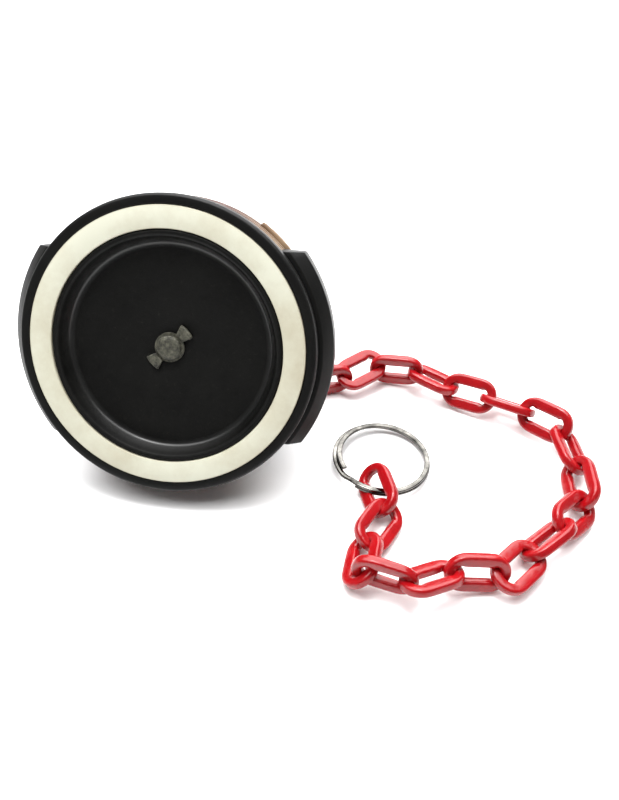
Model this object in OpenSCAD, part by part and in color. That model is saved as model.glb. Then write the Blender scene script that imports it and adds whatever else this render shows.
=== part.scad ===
// Deck fill cap that closes by a part turn on two lugs. It stands on its edge and leans back
// on its grip knob, with its keeper chain laid out on the surface beside it. The cap is drawn
// about its own axis with the sealing face at zero and the body behind it, and on_cap() leans
// it into place. The origin is the middle of the sealing face.

/* [Cap body] */
// Diameter of the sealing rim
rim_d = 91; // [90:0.5:93]
// Depth from the sealing face to the back of the body
body_depth = 18; // [17:0.5:20]
// Depth from the sealing face to the back of the grip knob
total_depth = 40; // [38:1:42]
// Thickness of the moulded walls
wall = 3; // [2.5:0.5:3.5]
// Reach of the two bayonet lugs from the axis
lug_reach = 50; // [48.5:0.5:51]
// Distance from the middle line to the leading end of each lug, whose ends are cut flat
lug_lead = 31.2; // [28:0.1:32]
// Distance from the middle line to the trailing end of each lug
lug_trail = 27.6; // [24:0.1:30]

/* [Gasket and seal plate] */
// Outer diameter of the face gasket
gasket_d = 84.4; // [83.5:0.1:84.6]
// Inner diameter of the face gasket
gasket_bore = 71; // [70.8:0.1:72]
// How far the gasket stands out of the face
gasket_proud = 0.3; // [0:0.1:0.8]
// Depth of the dished middle
dish_depth = 4.6; // [4.2:0.1:5.5]

/* [Swivel pin] */
// Diameter of the pin that carries the chain
pin_d = 6; // [5.5:0.1:6.2]
// Diameter of the closed head seen in the dish
head_d = 7.6; // [7:0.1:8]
// Distance across the two ears of the bow tie washer
ears_span = 16.6; // [15:0.1:18]

/* [Chain and key ring] */
// Length of a link over its wire
link_length = 20.8; // [20.6:0.1:20.9]
// Width of a link over its wire
link_width = 13.3; // [13.1:0.1:13.4]
// Outer diameter of the split key ring
ring_d = 33.2; // [33:0.1:33.4]

/* [Rest] */
// Angle that the cap leans back as it stands on its edge
lean = 30; // [28:1:31]

/* [Hidden] */
$fn = 64;
fit = 0.08;
gap = 0.1;
eps = 0.01;

rim_r = rim_d / 2;
band_r = rim_r - 0.6;
rim_depth = 4;
rim_edge = 0.5;
shoulder = 5;
flange_top = 3.2;
cavity_r = 34.5;
boss_r = 8;
boss_top = dish_depth + 2.1;
floor_z = -(band_r * cos(lean) + body_depth * sin(lean));
knob_flat = band_r - (total_depth - body_depth) * tan(lean);

gasket_r = gasket_d / 2;
plate_r = gasket_bore / 2 - 0.2;
pin_r = pin_d / 2;
bore_r = pin_r + fit;
head_r = head_d / 2;

link_wire = 3.2;
link_bow_r = (link_width - link_wire) / 2;
link_half = (link_length - link_wire) / 2;
link_straight = link_half - link_bow_r;
// Distance between the wire centres of two links that pull on each other
link_hold = 3.52;
eye_wire = 3.2;
eye_r = 4.6;
eye_depth = total_depth + 7;
eye_hold = 3.42;

// Heading on the floor, climb and roll of each link, from the eye to the key ring
LAY = [
    [0, -114, 90], [-20, -20, -25], [-25, -2, 40], [5, 6, -30], [20, -2, -90],
    [40, 4, 20], [-5, 5, -90], [-25, -4, -20], [-20, 5, 55], [-20, 1, -40],
    [-35, 5, 60], [-75, -4, -35], [-85, -2, 55], [-130, 12, -40], [-140, -14, 45],
    [-130, 3, -15], [-170, 8, -70], [-150, 7, 25], [170, 5, -90], [85, -5, -40],
    [65, -6, 30], [110, -3, -45]
];
// Middle of the key ring and its tilt about X and Y
RING_AT = [67.3, 4.3, floor_z + 3.4];
RING_TILT = [-4, 4];

// ---- directions and places of the chain ----

// The three axes of a body turned by roll, climb and heading, as columns
function turn_z(v, a) = [v.x * cos(a) - v.y * sin(a), v.x * sin(a) + v.y * cos(a), v.z];
function turn_y(v, a) = [v.x * cos(a) + v.z * sin(a), v.y, v.z * cos(a) - v.x * sin(a)];
function turn_x(v, a) = [v.x, v.y * cos(a) - v.z * sin(a), v.y * sin(a) + v.z * cos(a)];
function turned(v, lay) = turn_z(turn_y(turn_x(v, lay[2]), -lay[1]), lay[0]);
function along(lay) = turned([1, 0, 0], lay);
function normal_of(lay) = turned([0, 0, 1], lay);
function unit(v) = v / norm(v);
function flattened(v, n) = unit(v - (v * n) * n);

// The cap's own axes after it leans back
function cap_out() = [0, -cos(lean), sin(lean)];
function eye_centre() = -eye_depth * cap_out();

// Middle of link i: it hangs inside the far bow of the link before it
function link_middle(i) =
    i == 0
    ? eye_centre() + eye_r * flattened(along(LAY[0]), [1, 0, 0])
        + (link_half - eye_hold) * along(LAY[0])
    : link_pivot(i) + (link_half - link_hold) * along(LAY[i]);

// Where link i hooks over the wire of the link before it
function link_pivot(i) =
    link_middle(i - 1) + link_straight * along(LAY[i - 1])
    + link_bow_r * flattened(along(LAY[i]), normal_of(LAY[i - 1]));

// ---- shared shapes ----

module on_cap() {
    rotate([90 - lean, 0, 0]) children();
}

// A disc of the cap between two depths behind the sealing face
module disc(r, front, back) {
    translate([0, 0, -back]) cylinder(r = r, h = back - front);
}

module ring_between(outer, inner, front, back) {
    difference() {
        disc(outer, front, back);
        disc(inner, front - 1, back + 1);
    }
}

module torus(r, wire_r) {
    rotate_extrude() translate([r, 0]) circle(r = wire_r, $fn = 32);
}

module half_bow(r, wire_r) {
    rotate([0, 0, -90]) rotate_extrude(angle = 180) translate([r, 0]) circle(r = wire_r, $fn = 32);
}

module octagon(flat, front, back) {
    translate([0, 0, -back])
        rotate([0, 0, 22.5]) cylinder(r = flat / cos(22.5), h = back - front, $fn = 8);
}

// ---- cap ----

// Half section of the body: rim, gasket groove, ribbed band, back wall, boss
module body_section() {
    rib_top = 6;
    rib_step = 2.6;
    rib_dip = 0.5;
    ribs = [for (k = [0:3]) each [
        [band_r, -(rib_top + k * rib_step)],
        [band_r - rib_dip, -(rib_top + k * rib_step + 0.4)],
        [band_r - rib_dip, -(rib_top + k * rib_step + 1)],
        [band_r, -(rib_top + k * rib_step + 1.4)]
    ]];
    polygon(concat(
        [[gasket_r + gap, -shoulder], [gasket_r + gap, 0], [rim_r - rim_edge, 0], [rim_r, -rim_edge],
         [rim_r, -rim_depth], [band_r, -rim_depth - 0.6]],
        ribs,
        [[band_r, -body_depth], [bore_r, -body_depth], [bore_r, -boss_top], [boss_r, -boss_top],
         [boss_r, -body_depth + wall], [cavity_r, -body_depth + wall], [cavity_r, -shoulder]]
    ));
}

module lug() {
    front = rim_depth + 0.2;
    back = 13.6;
    corner = 0.6;
    intersection() {
        rotate([0, 0, -55]) rotate_extrude(angle = 110, $fn = 96)
            polygon([[band_r - 2, -front], [rim_r + 1, -front], [lug_reach - corner, -7],
                     [lug_reach, -7.8], [lug_reach, -back + corner], [lug_reach - corner, -back],
                     [band_r - 2, -back]]);
        translate([0, -lug_trail, -body_depth])
            cube([lug_reach + 1, lug_lead + lug_trail, body_depth]);
    }
}

// Low ramp on the back edge of the band that leads up to the end of a lug
module lead_in() {
    rise = 1.1;
    front = 15;
    rotate([0, 0, 37]) rotate_extrude(angle = 20, $fn = 96)
        polygon([[band_r - 2, -front], [band_r + rise - 0.5, -front], [band_r + rise, -front - 0.6],
                 [band_r + rise, -body_depth + 0.4], [band_r - 2, -body_depth + 0.4]]);
}

module cap_body() {
    o_ring_pocket = 2.1;
    rib_t = 1.6;
    color("#161616") on_cap() {
        difference() {
            rotate_extrude($fn = 96) body_section();
            disc(5.1, boss_top - 1, boss_top + o_ring_pocket);
        }
        for (side = [0, 180]) rotate([0, 0, side]) {
            lug();
            lead_in();
        }
        for (k = [0:5]) rotate([0, 0, 60 * k + 30])
            translate([boss_r - 0.5, -rib_t / 2, -body_depth + wall - 0.5])
                cube([cavity_r - boss_r + 1, rib_t, body_depth - wall - boss_top - 0.5]);
    }
}

module grip_knob() {
    scallop_r = 20;
    scallop_dip = 1.2;
    color("#181818") on_cap() difference() {
        intersection() {
            octagon(knob_flat, body_depth + eps, total_depth);
            disc(knob_flat + 1.8, body_depth, total_depth + 1);
        }
        difference() {
            octagon(knob_flat - wall - scallop_dip, body_depth - 1, total_depth - wall);
            disc(boss_r, body_depth - 2, total_depth);
        }
        disc(bore_r, body_depth - 1, total_depth + 1);
        for (k = [0:7]) rotate([0, 0, 45 * k])
            translate([knob_flat + scallop_r - scallop_dip, 0, -total_depth - 1])
                cylinder(r = scallop_r, h = total_depth - body_depth - 3);
    }
}

module seal_plate() {
    under = dish_depth + 2;
    color("#141414") on_cap() rotate_extrude($fn = 96) polygon([
        [bore_r, -dish_depth], [30.6, -dish_depth], [31.4, -dish_depth + 0.3],
        [31.9, -dish_depth + 1], [33.1, -1.2], [33.8, 0], [plate_r, 0],
        [plate_r, -flange_top], [gasket_r - 0.8, -flange_top], [gasket_r - 0.8, -shoulder],
        [cavity_r - 0.3, -shoulder], [31, -under], [bore_r, -under]
    ]);
}

module face_gasket() {
    color("#e8e2cc") on_cap()
        ring_between(gasket_r, gasket_bore / 2, -gasket_proud, flange_top);
}

// ---- swivel ----

module bow_tie_washer() {
    hub_r = 4.7;
    ear_angle = 36;
    color("#6d6c62") on_cap() rotate([0, 0, 45]) {
        ring_between(hub_r, bore_r, dish_depth - 0.6, dish_depth);
        for (side = [0, 180]) rotate([0, 0, side - ear_angle / 2])
            translate([0, 0, -dish_depth]) rotate_extrude(angle = ear_angle)
                polygon([[hub_r - 0.2, 0], [ears_span / 2, 0], [ears_span / 2, 0.9],
                         [ears_span / 2 - 0.3, 1.2], [hub_r - 0.2, 1.2]]);
    }
}

module pin_o_ring() {
    color("#2a2a2a") on_cap() translate([0, 0, -boss_top - 1.1]) torus(pin_r + 1.05, 0.9);
}

module swivel_pin() {
    head_back = dish_depth - 0.65;
    head_front = head_back - 1.3;
    color("#77766c") on_cap() {
        translate([0, 0, -head_back]) {
            cylinder(r = head_r, h = 0.8);
            translate([0, 0, 0.8]) cylinder(r1 = head_r, r2 = head_r - 0.7, h = head_back - head_front - 0.8);
        }
        disc(pin_r, head_back - 0.1, eye_depth - eye_r);
        disc(4.4, total_depth + 0.8, eye_depth - eye_r + 0.6);
        translate([0, 0, -eye_depth]) rotate([0, 90, 0]) torus(eye_r, eye_wire / 2);
    }
}

module thrust_washer() {
    color("silver") on_cap() ring_between(6.5, bore_r, total_depth + gap, total_depth + 0.7);
}

// ---- chain ----

// A link lies along X with its window facing up
module link_shape() {
    for (side = [-1, 1]) {
        translate([-link_straight, side * link_bow_r, 0])
            rotate([0, 90, 0]) cylinder(r = link_wire / 2, h = 2 * link_straight, $fn = 32);
        translate([side * link_straight, 0, 0])
            rotate([0, 0, side == 1 ? 0 : 180]) half_bow(link_bow_r, link_wire / 2);
    }
}

module chain_link(i) {
    lay = LAY[i];
    color("#d0202c") translate(link_middle(i)) rotate([lay[2], -lay[1], lay[0]]) link_shape();
}

// Two flat turns of one wire, closed up on each other
module key_ring() {
    turn_w = 2;
    turn_h = 1.15;
    outer = ring_d / 2;
    color("#c9cbcd") translate(RING_AT) rotate([RING_TILT[0], RING_TILT[1], 0])
        for (z = [-turn_h, 0]) translate([0, 0, z]) rotate_extrude($fn = 96)
            polygon([[outer - turn_w, 0.2], [outer - turn_w + 0.3, -eps], [outer - 0.3, -eps],
                     [outer, 0.2], [outer, turn_h - 0.2], [outer - 0.3, turn_h],
                     [outer - turn_w + 0.3, turn_h], [outer - turn_w, turn_h - 0.2]]);
}

cap_body();
grip_knob();
seal_plate();
face_gasket();
bow_tie_washer();
pin_o_ring();
swivel_pin();
thrust_washer();
chain_link(0);  // chain_link_01
chain_link(1);  // chain_link_02
chain_link(2);  // chain_link_03
chain_link(3);  // chain_link_04
chain_link(4);  // chain_link_05
chain_link(5);  // chain_link_06
chain_link(6);  // chain_link_07
chain_link(7);  // chain_link_08
chain_link(8);  // chain_link_09
chain_link(9);  // chain_link_10
chain_link(10);  // chain_link_11
chain_link(11);  // chain_link_12
chain_link(12);  // chain_link_13
chain_link(13);  // chain_link_14
chain_link(14);  // chain_link_15
chain_link(15);  // chain_link_16
chain_link(16);  // chain_link_17
chain_link(17);  // chain_link_18
chain_link(18);  // chain_link_19
chain_link(19);  // chain_link_20
chain_link(20);  // chain_link_21
chain_link(21);  // chain_link_22
key_ring();
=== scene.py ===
from math import cos, pi, radians, sin

import bpy
import numpy as np
from mathutils import Matrix, Vector


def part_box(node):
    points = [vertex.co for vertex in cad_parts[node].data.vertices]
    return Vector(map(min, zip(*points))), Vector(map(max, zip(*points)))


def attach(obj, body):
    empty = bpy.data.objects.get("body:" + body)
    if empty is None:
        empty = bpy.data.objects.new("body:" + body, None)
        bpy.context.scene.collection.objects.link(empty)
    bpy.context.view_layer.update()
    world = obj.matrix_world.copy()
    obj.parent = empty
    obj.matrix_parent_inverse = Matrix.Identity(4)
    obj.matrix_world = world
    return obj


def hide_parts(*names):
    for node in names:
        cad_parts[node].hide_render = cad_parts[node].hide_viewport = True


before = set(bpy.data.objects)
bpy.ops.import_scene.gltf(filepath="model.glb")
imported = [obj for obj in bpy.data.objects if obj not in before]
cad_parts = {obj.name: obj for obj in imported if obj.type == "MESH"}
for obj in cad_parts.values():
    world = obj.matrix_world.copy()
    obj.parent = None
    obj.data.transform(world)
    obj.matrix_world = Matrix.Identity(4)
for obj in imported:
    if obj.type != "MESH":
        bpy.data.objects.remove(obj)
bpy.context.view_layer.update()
print("frame loaded:", len(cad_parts), "nodes")

mm = 0.001
leanAngle = 30
toCap = Matrix.Rotation(radians(90 - leanAngle), 4, "X")  # from the cap's own axis to where it leans
spinAxis = (0, 0, -1)  # with no window a spin turns clockwise about its axis
bandRadius = 44.9
bandDepth = 18
floorHeight = -(bandRadius * cos(radians(leanAngle)) + bandDepth * sin(radians(leanAngle)))


studio = {
    "cameraAt": (64.05, -160.52, 149.88),
    "lookDown": 45.65,
    "heading": -7.34,
    "lens": 33.75,
    "floorSize": 6,
    "worldStrength": 0.2,
    "keyPower": 27.0,
    "panelPower": 3.0,
    "backPower": 6.0,
}

scene = bpy.context.scene
scene.view_settings.view_transform = "Standard"
bpy.ops.object.camera_add(location=[value * mm for value in studio["cameraAt"]])
camera = bpy.context.object
camera.rotation_euler = (radians(90 - studio["lookDown"]), 0, -radians(studio["heading"]))
camera.data.lens = studio["lens"]
camera.data.sensor_width = 36
camera.data.clip_start = 0.01
scene.camera = camera


def addSoftLight(name, place, aim, size, power, colour=(1, 1, 1)):
    bpy.ops.object.light_add(type="AREA", location=place)
    lamp = bpy.context.object
    lamp.name = name
    lamp.data.shape = "RECTANGLE"
    lamp.data.size, lamp.data.size_y = size
    lamp.data.energy = power
    lamp.data.color = colour
    lamp.rotation_euler = (Vector(aim) - Vector(place)).to_track_quat("-Z", "Y").to_euler()
    return lamp


addSoftLight("overhead_softbox", (-0.05, 0.25, 0.75), (0.03, 0.0, -0.03), (1.5, 1.2), studio["keyPower"])
addSoftLight("bright_panel", (-0.03, 0.06, 0.7), (-0.01, -0.01, -0.03), (0.22, 0.14),
             studio["panelPower"])
addSoftLight("back_softbox", (0.1, 0.9, 0.45), (0.03, 0.0, 0.0), (1.2, 0.5), studio["backPower"])

world = bpy.data.worlds.new("studio_air")
scene.world = world
world.use_nodes = True
world.node_tree.nodes["Background"].inputs["Color"].default_value = (1, 1, 1, 1)
world.node_tree.nodes["Background"].inputs["Strength"].default_value = studio["worldStrength"]
print("studio set")


class Wire:
    # one socket's value; sums on it add Math nodes
    def __init__(self, finish, socket):
        self.finish = finish
        self.socket = socket

    def combine(self, operation, first, second):
        return self.finish.node("ShaderNodeMath", {"operation": operation}, {0: first, 1: second})

    def __add__(self, other): return self.combine("ADD", self, other)
    def __radd__(self, other): return self.combine("ADD", other, self)
    def __sub__(self, other): return self.combine("SUBTRACT", self, other)
    def __rsub__(self, other): return self.combine("SUBTRACT", other, self)
    def __mul__(self, other): return self.combine("MULTIPLY", self, other)
    def __rmul__(self, other): return self.combine("MULTIPLY", other, self)
    def __truediv__(self, other): return self.combine("DIVIDE", self, other)
    def __pow__(self, other): return self.combine("POWER", self, other)


class Finish:
    # one material, built node by node
    def __init__(self, name):
        self.material = bpy.data.materials.new(name)
        self.material.use_nodes = True
        self.tree = self.material.node_tree
        self.tree.nodes.clear()
        self.sheet = self.tree.nodes.new("ShaderNodeOutputMaterial")
        self.places = self.node("ShaderNodeTexCoord", {}, {}, "Object")

    def node(self, kind, settings, sockets, give=0):
        made = self.tree.nodes.new(kind)
        for key, value in settings.items():
            if key == "stops":
                self.setStops(made.color_ramp, value)
            else:
                setattr(made, key, value)
        for key, value in sockets.items():
            if isinstance(value, Wire):
                self.tree.links.new(value.socket, made.inputs[key])
            else:
                made.inputs[key].default_value = value
        return Wire(self, made.outputs[give])

    def setStops(self, ramp, stops):
        while len(ramp.elements) < len(stops):
            ramp.elements.new(0.5)
        for element, (place, grey) in zip(ramp.elements, stops):
            element.position = place
            element.color = (grey, grey, grey, 1)

    def grain(self, scale, detail=2.0, rough=0.5, along=None):
        sockets = {"Vector": along or self.places, "Scale": scale, "Detail": detail, "Roughness": rough}
        return self.node("ShaderNodeTexNoise", {"noise_dimensions": "3D"}, sockets, "Fac")

    def ramp(self, value, stops):
        return self.node("ShaderNodeValToRGB", {"stops": stops}, {"Fac": value})

    def blendColour(self, share, first, second):
        return self.node("ShaderNodeMix", {"data_type": "RGBA"}, {0: share, 6: first, 7: second}, 2)

    def edges(self, low, high):
        sharp = self.node("ShaderNodeNewGeometry", {}, {}, "Pointiness")
        return self.ramp(sharp, [(low, 0), (high, 1)])

    def bump(self, height, distance, strength=1.0, under=None):
        sockets = {"Height": height, "Distance": distance, "Strength": strength}
        if under:
            sockets["Normal"] = under
        return self.node("ShaderNodeBump", {}, sockets)

    def capPlaces(self):
        # the cap's own coordinates, its axis along Z
        turn = (-radians(90 - leanAngle), 0, 0)
        sockets = {"Vector": self.places, "Rotation": turn}
        return self.node("ShaderNodeMapping", {"vector_type": "POINT"}, sockets)

    def capRadius(self):
        # the distance from the cap's axis
        across, upwards = (self.node("ShaderNodeSeparateXYZ", {}, {0: self.capPlaces()}, give)
                           for give in (0, 1))
        return (across * across + upwards * upwards) ** 0.5

    def close(self, sockets):
        skin = self.node("ShaderNodeBsdfPrincipled", {}, sockets)
        self.tree.links.new(skin.socket, self.sheet.inputs["Surface"])
        return self.material


def paint(red, green, blue):
    # a colour written as on a screen, 0 to 255
    return tuple((part / 255) ** 2.2 for part in (red, green, blue)) + (1,)


bodySatin = {"dark": (6, 6, 6), "light": (22, 22, 20), "worn": (58, 56, 50), "grainSize": 1500,
             "roughness": 0.45}


def makeBodySatin():
    finish = Finish("satin_black_plastic")
    cloud = finish.grain(60, 4, 0.6)
    speck = finish.grain(bodySatin["grainSize"], 2, 0.6)
    worn = finish.edges(0.53, 0.62) * finish.ramp(finish.grain(180, 5, 0.7), [(0.45, 0), (0.75, 1)])
    colour = finish.blendColour(cloud * 0.6, paint(*bodySatin["dark"]), paint(*bodySatin["light"]))
    colour = finish.blendColour(worn * 0.6, colour, paint(*bodySatin["worn"]))
    rough = bodySatin["roughness"] + (cloud - 0.5) * 0.16 + (speck - 0.5) * 0.1
    normal = finish.bump(speck, 0.00006, 0.5, finish.bump(cloud, 0.0002, 0.3))
    return finish.close({"Base Color": colour, "Roughness": rough, "Normal": normal,
                         "Specular IOR Level": 0.24})


# the brown and beige colours of the band are painted reflection: a warm sheen laid into its colour, turning
# beige towards the cap's right side
bandGloss = {"groove": (14, 9, 7), "brownSheen": (74, 38, 27), "sideSheen": (138, 116, 92), "roughness": 0.36}


def makeBandGloss():
    finish = Finish("band_plastic_painted_sheen")
    places = finish.capPlaces()
    across = finish.node("ShaderNodeSeparateXYZ", {}, {0: places})
    radius = finish.capRadius()
    crest = finish.ramp(radius * 100 - 4, [(0.435, 0), (0.478, 1)])
    # painted reflection: the band is brown most of the way round and turns beige towards the cap's +X side
    sideSheen = finish.ramp(across / radius, [(0.35, 0), (0.74, 1)])
    streak = finish.node("ShaderNodeTexNoise", {"noise_dimensions": "3D"}, {
        "Vector": finish.node("ShaderNodeMapping", {}, {"Vector": places, "Scale": (90, 90, 2200)}),
        "Scale": 1.0, "Detail": 3.0}, "Fac")
    colour = finish.blendColour(sideSheen, paint(*bandGloss["brownSheen"]), paint(*bandGloss["sideSheen"]))
    # the outer faces carry the painted reflection, broken by streaks; the grooves keep the dark groove colour
    worn = finish.ramp(streak, [(0.3, 0.35), (0.6, 1)]) * crest
    colour = finish.blendColour(worn, paint(*bandGloss["groove"]), colour)
    rough = bandGloss["roughness"] + (streak - 0.5) * 0.2
    return finish.close({"Base Color": colour, "Roughness": rough,
                         "Normal": finish.bump(streak, 0.0001, 0.5),
                         "Specular IOR Level": 0.25, "Specular Tint": (1.0, 0.8, 0.66, 1)})


plateTexture = {"dark": (5, 5, 5), "light": (19, 19, 17), "dust": (70, 68, 62), "roughness": 0.55,
                "fillet": 0.75, "lip": 0.3}


def makePlateTexture():
    finish = Finish("textured_black_plastic")
    radius = finish.capRadius()
    fillet = finish.ramp(radius * 100 - 2.9, [(0.08, 0), (0.16, 1), (0.32, 1), (0.4, 0)])
    lip = finish.ramp(radius * 100 - 3, [(0.335, 0), (0.35, 1), (0.4, 1), (0.42, 0)])
    cloud = finish.grain(70, 5, 0.65)
    pores = finish.grain(1500, 3, 0.7)
    dust = finish.ramp(finish.grain(700, 4, 0.8), [(0.6, 0), (0.78, 1)])
    colour = finish.blendColour(cloud, paint(*plateTexture["dark"]), paint(*plateTexture["light"]))
    colour = finish.blendColour(dust * 0.2, colour, paint(*plateTexture["dust"]))
    rough = plateTexture["roughness"] + (cloud - 0.5) * 0.3 + (pores - 0.5) * 0.2
    shine = fillet * plateTexture["fillet"] + lip * plateTexture["lip"]
    normal = finish.bump(pores, 0.00016, 0.7, finish.bump(cloud, 0.0005, 0.35))
    return finish.close({"Base Color": colour, "Roughness": rough, "Normal": normal,
                         "Specular IOR Level": 0.16,
                         "Coat Weight": shine * (0.6 + cloud * 0.8), "Coat Roughness": 0.3})


gasketCream = {"clean": (202, 202, 184), "soiled": (180, 174, 152), "edge": (140, 130, 104),
               "roughness": 0.55}


def makeGasketCream():
    finish = Finish("cream_gasket_rubber")
    cloud = finish.grain(35, 3, 0.6)
    speck = finish.grain(500, 5, 0.7)
    stain = finish.ramp(cloud + (speck - 0.5) * 0.25, [(0.35, 0), (0.7, 1)])
    rim = finish.ramp(finish.capRadius() * 100 - 3.5, [(0.045, 1), (0.09, 0), (0.67, 0), (0.715, 1)])
    colour = finish.blendColour(stain, paint(*gasketCream["clean"]), paint(*gasketCream["soiled"]))
    colour = finish.blendColour(rim * 0.45, colour, paint(*gasketCream["edge"]))
    rough = gasketCream["roughness"] + (speck - 0.5) * 0.2
    normal = finish.bump(speck, 0.00008, 0.5, finish.bump(cloud, 0.0004, 0.25))
    return finish.close({"Base Color": colour, "Roughness": rough, "Normal": normal})


castPin = {"dark": (34, 34, 28), "light": (98, 97, 84), "roughness": 0.45}


def makeCastPin():
    finish = Finish("rough_cast_pin_metal")
    lumps = finish.grain(650, 5, 0.7)
    pits = finish.grain(2200, 3, 0.6)
    raised = finish.ramp(lumps, [(0.35, 0), (0.68, 1)])
    colour = finish.blendColour(raised, paint(*castPin["dark"]), paint(*castPin["light"]))
    rough = castPin["roughness"] + (pits - 0.5) * 0.3
    normal = finish.bump(lumps, 0.0006, 0.8, finish.bump(pits, 0.0001, 0.6))
    return finish.close({"Base Color": colour, "Metallic": lumps * 0.5, "Roughness": rough,
                         "Normal": normal})


stampedSteel = {"dark": (120, 119, 115), "light": (190, 189, 184), "roughness": 0.35}


def makeStampedSteel():
    finish = Finish("stamped_steel")
    brush = finish.grain(1300, 4, 0.6)
    cloud = finish.grain(120, 3, 0.6)
    colour = finish.blendColour(cloud, paint(*stampedSteel["dark"]), paint(*stampedSteel["light"]))
    rough = stampedSteel["roughness"] + (brush - 0.5) * 0.3
    return finish.close({"Base Color": colour, "Metallic": 1.0, "Roughness": rough,
                         "Normal": finish.bump(brush, 0.00004, 0.4)})


def makeSealRubber():
    finish = Finish("nitrile_rubber")
    cloud = finish.grain(400, 4, 0.6)
    colour = finish.blendColour(cloud, paint(18, 18, 18), paint(40, 40, 40))
    return finish.close({"Base Color": colour, "Roughness": 0.5 + (cloud - 0.5) * 0.3,
                         "Normal": finish.bump(cloud, 0.0001, 0.4)})


chainRed = {"deep": (124, 12, 18), "bright": (172, 26, 32), "roughness": 0.2}


def makeChainRed():
    finish = Finish("gloss_red_chain_plastic")
    cloud = finish.grain(140, 3, 0.6)
    flow = finish.grain(420, 4, 0.6)
    scuffs = finish.ramp(finish.grain(1500, 4, 0.8), [(0.6, 0), (0.75, 1)]) * finish.edges(0.5, 0.6)
    colour = finish.blendColour(cloud, paint(*chainRed["deep"]), paint(*chainRed["bright"]))
    colour = finish.blendColour(scuffs * 0.3, colour, paint(240, 120, 110))
    rough = chainRed["roughness"] + (flow - 0.5) * 0.2 + scuffs * 0.2
    normal = finish.bump(flow, 0.0003, 0.35, finish.bump(cloud, 0.0006, 0.3))
    return finish.close({"Base Color": colour, "Roughness": rough, "Normal": normal,
                         "Subsurface Weight": 0.25, "Subsurface Radius": (1.0, 0.12, 0.08),
                         "Subsurface Scale": 0.0015})


ringNickel = {"dark": (52, 51, 49), "light": (116, 114, 110), "roughness": 0.12}


def makeRingNickel():
    finish = Finish("bright_nickel")
    cloud = finish.grain(260, 4, 0.6)
    scratch = finish.grain(2600, 3, 0.7)
    patch = finish.ramp(cloud, [(0.3, 0), (0.7, 1)])
    colour = finish.blendColour(patch, paint(*ringNickel["dark"]), paint(*ringNickel["light"]))
    rough = ringNickel["roughness"] + (scratch - 0.5) * 0.16
    normal = finish.bump(scratch, 0.00004, 0.4, finish.bump(cloud, 0.0002, 0.3))
    return finish.close({"Base Color": colour, "Metallic": 1.0, "Roughness": rough, "Normal": normal})


def makeFloorWhite():
    finish = Finish("white_table")
    cloud = finish.grain(3, 2, 0.5)
    colour = finish.blendColour(cloud, paint(246, 246, 246), paint(252, 252, 252))
    return finish.close({"Base Color": colour, "Roughness": 0.32 + cloud * 0.06})


satinBlack = makeBodySatin()
bandPlastic = makeBandGloss()
plateBlack = makePlateTexture()
creamRubber = makeGasketCream()
pinMetal = makeCastPin()
washerSteel = makeStampedSteel()
sealRubber = makeSealRubber()
redPlastic = makeChainRed()
nickel = makeRingNickel()
print("finishes made")

bpy.ops.object.select_all(action="DESELECT")
bpy.ops.mesh.primitive_plane_add(size=studio["floorSize"], location=(0, 0, floorHeight * mm))
floor = bpy.context.object
floor.name = "table_top"
floor.data.materials.append(makeFloorWhite())


def beginPiece(name):
    piece = bpy.context.object
    piece.name = name
    bpy.ops.object.transform_apply(location=True, rotation=True, scale=True)
    bpy.ops.object.mode_set(mode="EDIT")
    bpy.ops.mesh.select_all(action="SELECT")
    return piece


def mergeAndTurnOut(distance=0.00001):
    bpy.ops.mesh.select_all(action="SELECT")
    bpy.ops.mesh.remove_doubles(threshold=distance)
    bpy.ops.mesh.normals_make_consistent(inside=False)
    bpy.ops.object.mode_set(mode="OBJECT")


def turnProfile(name, profile, steps=144):
    # a closed run of radius and depth behind the sealing face, turned about the cap's axis
    bpy.ops.object.select_all(action="DESELECT")
    radius, depth = profile[0]
    bpy.ops.mesh.primitive_circle_add(vertices=steps, radius=radius * mm, location=(0, 0, -depth * mm))
    piece = beginPiece(name)
    for newRadius, newDepth in profile[1:] + profile[:1]:
        bpy.ops.mesh.extrude_region_move(TRANSFORM_OT_translate={"value": (0, 0, (depth - newDepth) * mm)})
        grow = newRadius / radius
        bpy.ops.transform.resize(value=(grow, grow, 1), center_override=(0, 0, 0))
        radius, depth = newRadius, newDepth
    mergeAndTurnOut()
    return piece


def roundEdges(piece, width, segments=2, angle=30):
    soft = piece.modifiers.new("soft_edges", "BEVEL")
    soft.width = width * mm
    soft.segments = segments
    soft.limit_method = "ANGLE"
    soft.angle_limit = radians(angle)
    soft.miter_outer = "MITER_ARC"
    useModifier(piece, soft)


def useModifier(piece, modifier):
    bpy.ops.object.select_all(action="DESELECT")
    piece.select_set(True)
    bpy.context.view_layer.objects.active = piece
    bpy.ops.object.modifier_apply(modifier=modifier.name)


def placeWith(piece, matrix):
    bpy.ops.object.select_all(action="DESELECT")
    piece.select_set(True)
    bpy.context.view_layer.objects.active = piece
    piece.matrix_world = matrix
    bpy.ops.object.transform_apply(location=True, rotation=True, scale=True)


def joinPieces(pieces, name):
    bpy.ops.object.select_all(action="DESELECT")
    for piece in pieces:
        piece.select_set(True)
    bpy.context.view_layer.objects.active = pieces[0]
    bpy.ops.object.join()
    bpy.context.object.name = name
    return bpy.context.object


def finishPiece(piece, material, body, nodes=(), angle=35):
    bpy.ops.object.select_all(action="DESELECT")
    piece.select_set(True)
    bpy.context.view_layer.objects.active = piece
    bpy.ops.object.shade_smooth_by_angle(angle=radians(angle))
    piece.data.materials.clear()
    piece.data.materials.append(material)
    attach(piece, body)
    if nodes:
        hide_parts(*nodes)
    return piece


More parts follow.
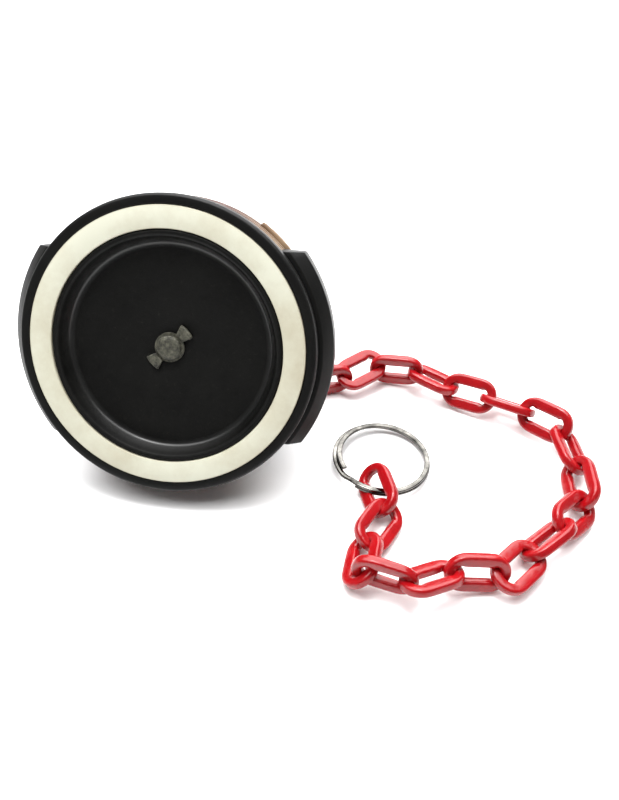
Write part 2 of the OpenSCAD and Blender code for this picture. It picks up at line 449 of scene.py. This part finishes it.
capShell = {
    "profile": [(42.35, 4.9), (42.35, 0.0), (44.9, 0.0), (45.5, 0.65), (45.5, 4.0), (44.7, 4.7),
                (43.9, 5.2), (43.9, 17.4), (44.3, 18.0), (8.2, 18.0), (3.2, 18.0), (3.2, 7.0), (8.0, 7.0),
                (8.0, 15.0), (34.6, 15.0), (34.6, 4.9)],
    "rounding": 0.45,
}

shell = turnProfile("cap_shell", capShell["profile"])
roundEdges(shell, capShell["rounding"], 3)
placeWith(shell, toCap)
finishPiece(shell, satinBlack, "cap", ["cap_body"])

ribbedBand = {"inner": 43.0, "outer": bandRadius, "start": 4.5, "end": 17.95, "ribs": 4, "first": 6.0,
              "step": 2.6, "width": 1.4, "dip": 0.55, "flank": 0.35, "rounding": 0.14}


def bandProfile():
    outer, dip, flank = (ribbedBand[key] for key in ("outer", "dip", "flank"))
    run = [(ribbedBand["inner"], ribbedBand["start"]), (outer, ribbedBand["start"])]
    for rib in range(ribbedBand["ribs"]):
        top = ribbedBand["first"] + rib * ribbedBand["step"]
        end = top + ribbedBand["width"]
        run += [(outer, top), (outer - dip, top + flank), (outer - dip, end - flank), (outer, end)]
    return run + [(outer, ribbedBand["end"]), (ribbedBand["inner"], ribbedBand["end"])]


band = turnProfile("ribbed_band", bandProfile(), 192)
roundEdges(band, ribbedBand["rounding"], 2)
placeWith(band, toCap)
finishPiece(band, bandPlastic, "cap")
print("shell and band turned")


lug = {"inner": 42.9, "outer": 49.95, "front": 4.25, "back": 13.6, "slope": 3.1, "start": -55, "arc": 110,
       "steps": 60, "lead": 31.15, "trail": 27.55, "rounding": 0.75}
leadIn = {"inner": 42.9, "outer": 45.95, "front": 15.0, "back": 17.6, "slope": 0.6, "start": 37, "arc": 20,
          "steps": 12, "rounding": 0.3}


def sweepBlock(name, block, startAngle):
    # a flat section whose front outer corner is cut off, swept round the cap's axis
    bpy.ops.object.select_all(action="DESELECT")
    inner, outer, front, back = (block[key] for key in ("inner", "outer", "front", "back"))
    middle = ((inner + outer) / 2 * mm, 0, -(front + back) / 2 * mm)
    bpy.ops.mesh.primitive_plane_add(size=1, location=middle, rotation=(pi / 2, 0, 0))
    bpy.context.object.scale = ((outer - inner) * mm, (back - front) * mm, 1)
    piece = beginPiece(name)
    bpy.ops.mesh.select_all(action="DESELECT")
    bpy.ops.object.mode_set(mode="OBJECT")
    for corner in piece.data.vertices:
        corner.select = corner.co.x > middle[0] and corner.co.z > middle[2]
    bpy.ops.object.mode_set(mode="EDIT")
    bpy.ops.mesh.bevel(offset=block["slope"] * mm, segments=1, affect="VERTICES")
    bpy.ops.mesh.select_all(action="SELECT")
    bpy.ops.mesh.spin(steps=block["steps"], angle=radians(block["arc"]), center=(0, 0, 0),
                      axis=spinAxis)
    mergeAndTurnOut()
    placeWith(piece, Matrix.Rotation(radians(startAngle), 4, "Z"))
    return piece


def cutFlat(piece, height, outwards):
    bpy.ops.object.mode_set(mode="EDIT")
    bpy.ops.mesh.select_all(action="SELECT")
    bpy.ops.mesh.bisect(plane_co=(0, height * mm, 0), plane_no=(0, outwards, 0), use_fill=True,
                        clear_outer=True)
    mergeAndTurnOut()


for sideName, sideAngle in (("right", 0), ("left", 180)):
    turn = Matrix.Rotation(radians(sideAngle), 4, "Z")
    lugPiece = sweepBlock("bayonet_lug_" + sideName, lug, lug["start"])
    cutFlat(lugPiece, lug["lead"], 1)
    cutFlat(lugPiece, -lug["trail"], -1)
    roundEdges(lugPiece, lug["rounding"], 3)
    placeWith(lugPiece, toCap @ turn)
    finishPiece(lugPiece, satinBlack, "cap")
    ramp = sweepBlock("lug_lead_in_" + sideName, leadIn, leadIn["start"])
    roundEdges(ramp, leadIn["rounding"], 3)
    placeWith(ramp, toCap @ turn)
    finishPiece(ramp, bandPlastic, "cap")
print("lugs swept")


sealPlate = {
    "profile": [(3.15, 4.6), (30.4, 4.6), (31.0, 4.52), (31.4, 4.3), (31.7, 3.95), (31.95, 3.5),
                (32.3, 2.8), (33.1, 1.2), (33.42, 0.55), (33.62, 0.16), (33.95, 0.0), (34.9, 0.0),
                (35.3, 0.35), (35.3, 3.2), (41.3, 3.2), (41.3, 5.0), (34.1, 5.0), (31.0, 6.6), (3.15, 6.6)],
    "rounding": 0.12,
}

plate = turnProfile("seal_plate_dish", sealPlate["profile"], 192)
roundEdges(plate, sealPlate["rounding"], 2, 40)
placeWith(plate, toCap)
finishPiece(plate, plateBlack, "cap", ["seal_plate"])


faceGasket = {"profile": [(35.52, -0.28), (42.18, -0.28), (42.2, 3.15), (35.52, 3.15)], "rounding": 0.22}

gasket = turnProfile("face_gasket_ring", faceGasket["profile"], 192)
roundEdges(gasket, faceGasket["rounding"], 3)
placeWith(gasket, toCap)
finishPiece(gasket, creamRubber, "cap", ["face_gasket"])
print("plate and gasket turned")


bowTie = {
    "hub": [(3.15, 4.02), (4.6, 4.02), (4.6, 4.59), (3.15, 4.59)],
    "ear": {"inner": 4.5, "outer": 8.0, "front": 3.42, "back": 4.59, "slope": 0.4, "arc": 38, "steps": 12,
            "rounding": 0.42},
    "angle": 45,
}

hub = turnProfile("washer_hub", bowTie["hub"], 64)
placeWith(hub, toCap)
firstEar = bowTie["angle"] - bowTie["ear"]["arc"] / 2
ears = [sweepBlock("washer_ear", bowTie["ear"], firstEar + side) for side in (0, 180)]
for ear in ears:
    roundEdges(ear, bowTie["ear"]["rounding"], 3)
    placeWith(ear, toCap)
washer = joinPieces([hub] + ears, "bow_tie_washer_piece")
finishPiece(washer, pinMetal, "cap", ["bow_tie_washer"])


swivelPin = {
    "profile": [(0.02, 2.68), (2.4, 2.7), (3.3, 2.82), (3.68, 3.15), (3.78, 3.6), (3.7, 3.94), (3.0, 4.0),
                (3.0, 40.8), (4.38, 40.8), (4.38, 43.0), (0.02, 43.0)],
    "eyeRadius": 4.6,
    "eyeWire": 1.6,
    "eyeDepth": 47,
}

pin = turnProfile("pin_shaft", swivelPin["profile"], 64)
bpy.ops.object.select_all(action="DESELECT")
bpy.ops.mesh.primitive_torus_add(major_radius=swivelPin["eyeRadius"] * mm,
                                 minor_radius=swivelPin["eyeWire"] * mm,
                                 major_segments=64, minor_segments=24, rotation=(0, pi / 2, 0),
                                 location=(0, 0, -swivelPin["eyeDepth"] * mm))
eye = beginPiece("pin_eye")
bpy.ops.object.mode_set(mode="OBJECT")
pin = joinPieces([pin, eye], "swivel_pin_piece")
placeWith(pin, toCap)
finishPiece(pin, pinMetal, "swivel", ["swivel_pin"])
print("washer and pin made")


gripKnob = {"flat": 32.2, "front": 18.0, "back": 39.95, "corner": 3.0, "scallopRadius": 20,
            "scallopDip": 1.2, "scallopFront": 21.0, "scallopLength": 22, "rounding": 0.9}


def makeKnob():
    bpy.ops.object.select_all(action="DESELECT")
    height = gripKnob["back"] - gripKnob["front"]
    bpy.ops.mesh.primitive_cylinder_add(vertices=8, radius=gripKnob["flat"] / cos(pi / 8) * mm,
                                        depth=height * mm,
                                        location=(0, 0, -(gripKnob["front"] + height / 2) * mm),
                                        rotation=(0, 0, pi / 8))
    piece = beginPiece("grip_knob_piece")
    bpy.ops.mesh.select_all(action="DESELECT")
    bpy.ops.object.mode_set(mode="OBJECT")
    for edge in piece.data.edges:
        first, second = (piece.data.vertices[index].co for index in edge.vertices)
        edge.select = abs(first.z - second.z) > 0.01
    bpy.ops.object.mode_set(mode="EDIT")
    bpy.ops.mesh.bevel(offset=gripKnob["corner"] * mm, segments=5, affect="EDGES")
    bpy.ops.object.mode_set(mode="OBJECT")
    cutters = []
    for turn in range(8):
        reach = (gripKnob["flat"] + gripKnob["scallopRadius"] - gripKnob["scallopDip"]) * mm
        angle = pi / 4 * turn
        depth = -(gripKnob["scallopFront"] + gripKnob["scallopLength"] / 2) * mm
        bpy.ops.mesh.primitive_cylinder_add(vertices=96, radius=gripKnob["scallopRadius"] * mm,
                                            depth=gripKnob["scallopLength"] * mm,
                                            location=(reach * cos(angle), reach * sin(angle), depth))
        cutters.append(bpy.context.object)
    cutter = joinPieces(cutters, "scallop_cutters")
    cut = piece.modifiers.new("scallops", "BOOLEAN")
    cut.operation = "DIFFERENCE"
    cut.solver = "EXACT"
    cut.use_self = True
    cut.object = cutter
    useModifier(piece, cut)
    bpy.data.objects.remove(cutter)
    roundEdges(piece, gripKnob["rounding"], 3, 40)
    placeWith(piece, toCap)
    return finishPiece(piece, satinBlack, "cap", ["grip_knob"])


makeKnob()
print("knob made")


chainLink = {"half": 8.42, "side": 4.8, "corner": 4.64, "wire": 3.2, "softness": 0.95, "barFill": 0.8,
             "barReach": 4.6, "barEdge": 0.6, "flatness": 0.96}


def makeLink():
    # a soft square wire led round a stadium: long bar, two corners and a short end, twice
    bpy.ops.object.select_all(action="DESELECT")
    half, side, corner = (chainLink[key] * mm for key in ("half", "side", "corner"))
    bpy.ops.mesh.primitive_plane_add(size=chainLink["wire"] * mm, location=(0, -side, 0),
                                     rotation=(0, pi / 2, 0))
    piece = beginPiece("chain_link_pattern")
    bpy.ops.mesh.bevel(offset=chainLink["softness"] * mm, segments=3, affect="VERTICES")
    bpy.ops.mesh.select_all(action="SELECT")
    bpy.ops.mesh.delete(type="ONLY_FACE")
    bpy.ops.mesh.select_all(action="SELECT")
    for sign in (1, -1):
        for part in range(2):
            bpy.ops.mesh.extrude_region_move(
                TRANSFORM_OT_translate={"value": (sign * (half - corner) / 2, 0, 0)})
        bpy.ops.mesh.spin(steps=6, angle=pi / 2, axis=spinAxis,
                          center=(sign * (half - corner), -sign * (side - corner), 0))
        for part in range(2):
            bpy.ops.mesh.extrude_region_move(
                TRANSFORM_OT_translate={"value": (0, sign * (side - corner), 0)})
        bpy.ops.mesh.spin(steps=6, angle=pi / 2, axis=spinAxis,
                          center=(sign * (half - corner), sign * (side - corner), 0))
        for part in range(2):
            bpy.ops.mesh.extrude_region_move(
                TRANSFORM_OT_translate={"value": (-sign * (half - corner) / 2, 0, 0)})
    bpy.ops.mesh.select_all(action="SELECT")
    bpy.ops.transform.resize(value=(1, 1, chainLink["flatness"]), center_override=(0, 0, 0))
    mergeAndTurnOut()
    for sign in (1, -1):  # the long bars are a little fuller on the window's side
        bpy.ops.object.mode_set(mode="EDIT")
        bpy.ops.mesh.select_mode(type="VERT")
        bpy.ops.mesh.select_all(action="DESELECT")
        bpy.ops.object.mode_set(mode="OBJECT")
        for point in piece.data.vertices:
            inwards = 0 < point.co.y * sign < side - chainLink["barEdge"] * mm
            point.select = inwards and abs(point.co.x) < chainLink["barReach"] * mm
        bpy.ops.object.mode_set(mode="EDIT")
        bpy.ops.transform.translate(value=(0, -sign * chainLink["barFill"] * mm, 0))
        bpy.ops.object.mode_set(mode="OBJECT")
    return piece


pattern = makeLink()
print("link pattern:", len(pattern.data.vertices), "points, size",
      [round(value / mm, 2) for value in pattern.dimensions])

for number in range(1, 23):
    linkName = "link_%02d" % number
    nodeName = "chain_link_%02d" % number
    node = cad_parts[nodeName]
    points = np.unique([tuple(node.matrix_world @ point.co) for point in node.data.vertices], axis=0)
    low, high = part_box(nodeName)
    middle = (low + high) / 2
    spread = np.linalg.eigh(np.cov(points.T))[1]  # thinnest direction first, the long one last
    lengthways, sideways = Vector(spread[:, 2]), Vector(spread[:, 1])
    place = Matrix((lengthways, sideways, lengthways.cross(sideways))).transposed().to_4x4()
    place.translation = middle
    linkPiece = pattern.copy()
    linkPiece.data = pattern.data.copy()
    linkPiece.name = "chain_link_%02d_piece" % number
    scene.collection.objects.link(linkPiece)
    placeWith(linkPiece, place)
    smooth = linkPiece.modifiers.new("smooth_wire", "SUBSURF")
    smooth.levels = smooth.render_levels = 1
    useModifier(linkPiece, smooth)
    finishPiece(linkPiece, redPlastic, linkName, [nodeName], 60)
bpy.data.objects.remove(pattern)
print("chain laid")


keyRing = {"centre": (67.3, 4.3, 3.4), "tilt": (-4, 4), "outer": 16.5, "wide": 1.8, "high": 0.98,
           "softness": 0.34, "pitch": 1.16, "endAngle": 213, "gap": 14, "jog": 18,
           "springArc": 300, "spring": 1.3, "step": 3}


def ease(share):
    share = min(max(share, 0), 1)
    return share * share * (3 - 2 * share)


def makeRing():
    # one flat wire led twice round; it steps up past its own start, and the second turn draws inwards
    bpy.ops.object.select_all(action="DESELECT")
    radius = keyRing["outer"] - keyRing["wide"] / 2
    start = keyRing["endAngle"] + 2 * keyRing["gap"]
    bpy.ops.mesh.primitive_plane_add(size=1, location=(radius * mm, 0, -keyRing["pitch"] / 2 * mm),
                                     rotation=(pi / 2, 0, 0))
    bpy.context.object.scale = (keyRing["wide"] * mm, keyRing["high"] * mm, 1)
    piece = beginPiece("split_key_ring")
    bpy.ops.mesh.bevel(offset=keyRing["softness"] * mm, segments=3, affect="VERTICES")
    bpy.ops.mesh.select_all(action="SELECT")
    total = 720 - 2 * keyRing["gap"]
    jogStart = 360 - keyRing["gap"] - keyRing["jog"] / 2
    height = grown = 0
    travelled = 0
    while travelled < total:
        travelled += keyRing["step"]
        bpy.ops.mesh.extrude_region_move()
        bpy.ops.transform.rotate(value=-radians(keyRing["step"]), orient_axis="Z",
                                 center_override=(0, 0, 0))
        newHeight = keyRing["pitch"] * ease((travelled - jogStart) / keyRing["jog"])
        newGrown = keyRing["spring"] * ease((travelled - total + keyRing["springArc"]) / keyRing["springArc"])
        heading = radians(travelled)
        inwards = newGrown - grown
        bpy.ops.transform.translate(value=(-inwards * cos(heading) * mm, -inwards * sin(heading) * mm,
                                           (newHeight - height) * mm))
        height, grown = newHeight, newGrown
    mergeAndTurnOut()
    tiltX, tiltY = (radians(angle) for angle in keyRing["tilt"])
    tilt = Matrix.Rotation(tiltY, 4, "Y") @ Matrix.Rotation(tiltX, 4, "X")
    centre = Vector(keyRing["centre"]) * mm + Vector((0, 0, floorHeight * mm))
    placeWith(piece, Matrix.Translation(centre) @ tilt @ Matrix.Rotation(radians(start), 4, "Z"))
    roundEdges(piece, 0.08, 1, 60)
    return finishPiece(piece, nickel, "key_ring", ["key_ring"], 40)


ring = makeRing()
print("ring wound:", len(ring.data.vertices), "points, size",
      [round(value / mm, 2) for value in ring.dimensions])


for nodeName, material in (("thrust_washer", washerSteel), ("pin_o_ring", sealRubber)):
    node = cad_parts[nodeName]
    node.data.materials.clear()
    node.data.materials.append(material)
